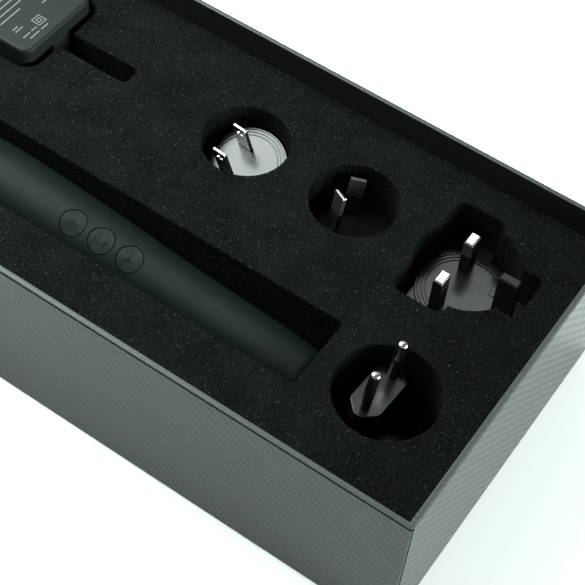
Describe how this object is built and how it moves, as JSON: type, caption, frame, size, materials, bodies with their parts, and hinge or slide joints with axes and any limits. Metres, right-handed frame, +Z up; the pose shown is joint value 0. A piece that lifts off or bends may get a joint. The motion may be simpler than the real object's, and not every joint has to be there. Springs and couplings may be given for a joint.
{
  "type": "electric toothbrush travel set in a presentation case",
  "caption": "Electric toothbrush with three side buttons, wall charger and interchangeable plug heads, each lifting out of its own pocket in a foam-lined rigid case.",
  "frame": {"origin": "centre of the case's underside", "axes": "+X along the case towards the brush's tail, +Y away from the near long side, +Z up"},
  "size_m": [0.356, 0.154, 0.078],
  "materials": {
    "case_board": "carbon-weave printed wrap, satin",
    "foam": "open-cell black foam, matte",
    "silicone": "soft matte silicone",
    "handle_plastic": "matte",
    "collar_metal": "satin",
    "seal_rubber": "matte",
    "board_laminate": "satin",
    "switch_steel": "satin",
    "cell_wrap": "satin",
    "motor_steel": "satin",
    "coil_copper": "satin",
    "ferrite": "matte",
    "head_plastic": "satin",
    "bristle_nylon": "nylon filaments",
    "charger_plastic": "fine-textured matte",
    "latch_plastic": "gloss",
    "socket_nickel": "polished",
    "tongue_plastic": "matte",
    "plug_gloss": "gloss",
    "pin_nickel": "polished",
    "pin_sleeve": "satin"
  },
  "bodies": {
    "case": {"case_base_board": "case_board", "near_side_board": "case_board", "far_side_board": "case_board", "left_end_board": "case_board", "right_end_board": "case_board", "foam_upper_layer": "foam", "foam_lower_layer": "foam"},
    "toothbrush": {"silicone_grip_sleeve": "silicone", "handle_housing": "handle_plastic", "tail_cap": "silicone", "tail_cap_seal": "seal_rubber", "neck_collar": "collar_metal", "circuit_board": "board_laminate", "minus_switch": "switch_steel", "power_switch": "switch_steel", "plus_switch": "switch_steel", "battery": "cell_wrap", "motor": "motor_steel", "motor_isolator": "seal_rubber", "motor_and_battery_chassis": "handle_plastic", "charging_coil": "coil_copper", "coil_ferrite": "ferrite", "shaft_seal": "seal_rubber"},
    "plus_button": {"plus_button": "silicone"},
    "power_button": {"power_button": "silicone"},
    "minus_button": {"minus_button": "silicone"},
    "drive": {"drive_shaft": "motor_steel"},
    "brush_head": {"brush_head_stem": "head_plastic", "bristle_tufts": "bristle_nylon", "shaft_clip": "motor_steel"},
    "charger": {"charger_base_shell": "charger_plastic", "charger_face_shell": "charger_plastic", "output_socket_shell": "socket_nickel", "output_socket_tongue": "tongue_plastic", "charger_circuit_board": "board_laminate", "transformer": "ferrite", "input_capacitor": "cell_wrap", "output_capacitor": "cell_wrap", "near_contact": "coil_copper", "far_contact": "coil_copper"},
    "head_latch": {"head_release_latch": "latch_plastic"},
    "us_plug_head": {"us_plug_body": "plug_gloss", "us_near_blade": "pin_nickel", "us_far_blade": "pin_nickel"},
    "au_plug_head": {"au_plug_body": "plug_gloss", "au_near_blade": "pin_nickel", "au_far_blade": "pin_nickel"},
    "uk_plug_head": {"uk_plug_body": "plug_gloss", "uk_near_pin": "pin_nickel", "uk_far_pin": "pin_nickel", "uk_earth_pin": "plug_gloss", "uk_near_pin_sleeve": "pin_sleeve", "uk_far_pin_sleeve": "pin_sleeve"},
    "eu_plug_head": {"eu_plug_body": "plug_gloss", "eu_near_pin": "pin_nickel", "eu_far_pin": "pin_nickel", "eu_near_pin_sleeve": "pin_sleeve", "eu_far_pin_sleeve": "pin_sleeve"}
  },
  "joints": [
    {"name": "toothbrush_lift_out", "type": "slide", "parent": "case", "child": "toothbrush", "axis": [0, 0, 1], "range_m": [0, 0.08]},
    {"name": "charger_lift_out", "type": "slide", "parent": "case", "child": "charger", "axis": [0, 0, 1], "range_m": [0, 0.08]},
    {"name": "us_plug_head_lift_out", "type": "slide", "parent": "case", "child": "us_plug_head", "axis": [0, 0, 1], "range_m": [0, 0.07]},
    {"name": "au_plug_head_lift_out", "type": "slide", "parent": "case", "child": "au_plug_head", "axis": [0, 0, 1], "range_m": [0, 0.07]},
    {"name": "uk_plug_head_lift_out", "type": "slide", "parent": "case", "child": "uk_plug_head", "axis": [0, 0, 1], "range_m": [0, 0.07]},
    {"name": "eu_plug_head_lift_out", "type": "slide", "parent": "case", "child": "eu_plug_head", "axis": [0, 0, 1], "range_m": [0, 0.07]},
    {"name": "minus_button_press", "type": "slide", "parent": "toothbrush", "child": "minus_button", "axis": [-0.0271, 0.3422, -0.9392], "range_m": [0, 0.0008], "stiffness_N_per_m": 400, "springref_m": -0.0006},
    {"name": "power_button_press", "type": "slide", "parent": "toothbrush", "child": "power_button", "axis": [-0.0271, 0.3422, -0.9392], "range_m": [0, 0.0008], "stiffness_N_per_m": 400, "springref_m": -0.0006},
    {"name": "plus_button_press", "type": "slide", "parent": "toothbrush", "child": "plus_button", "axis": [-0.0271, 0.3422, -0.9392], "range_m": [0, 0.0008], "stiffness_N_per_m": 400, "springref_m": -0.0006},
    {"name": "drive_oscillation", "type": "hinge", "parent": "toothbrush", "child": "drive", "pos_m": [-0.05997, -0.03058, 0.05142], "axis": [0.9995, -0.007, -0.0314], "range_deg": [-8, 8], "stiffness_Nm_per_rad": 0.5},
    {"name": "brush_head_pull_off", "type": "slide", "parent": "drive", "child": "brush_head", "axis": [-0.9995, 0.007, 0.0314], "range_m": [0, 0.016]},
    {"name": "head_latch_slide", "type": "slide", "parent": "charger", "child": "head_latch", "axis": [1, 0, 0], "range_m": [0, 0.002], "stiffness_N_per_m": 500, "springref_m": -0.001}
  ]
}
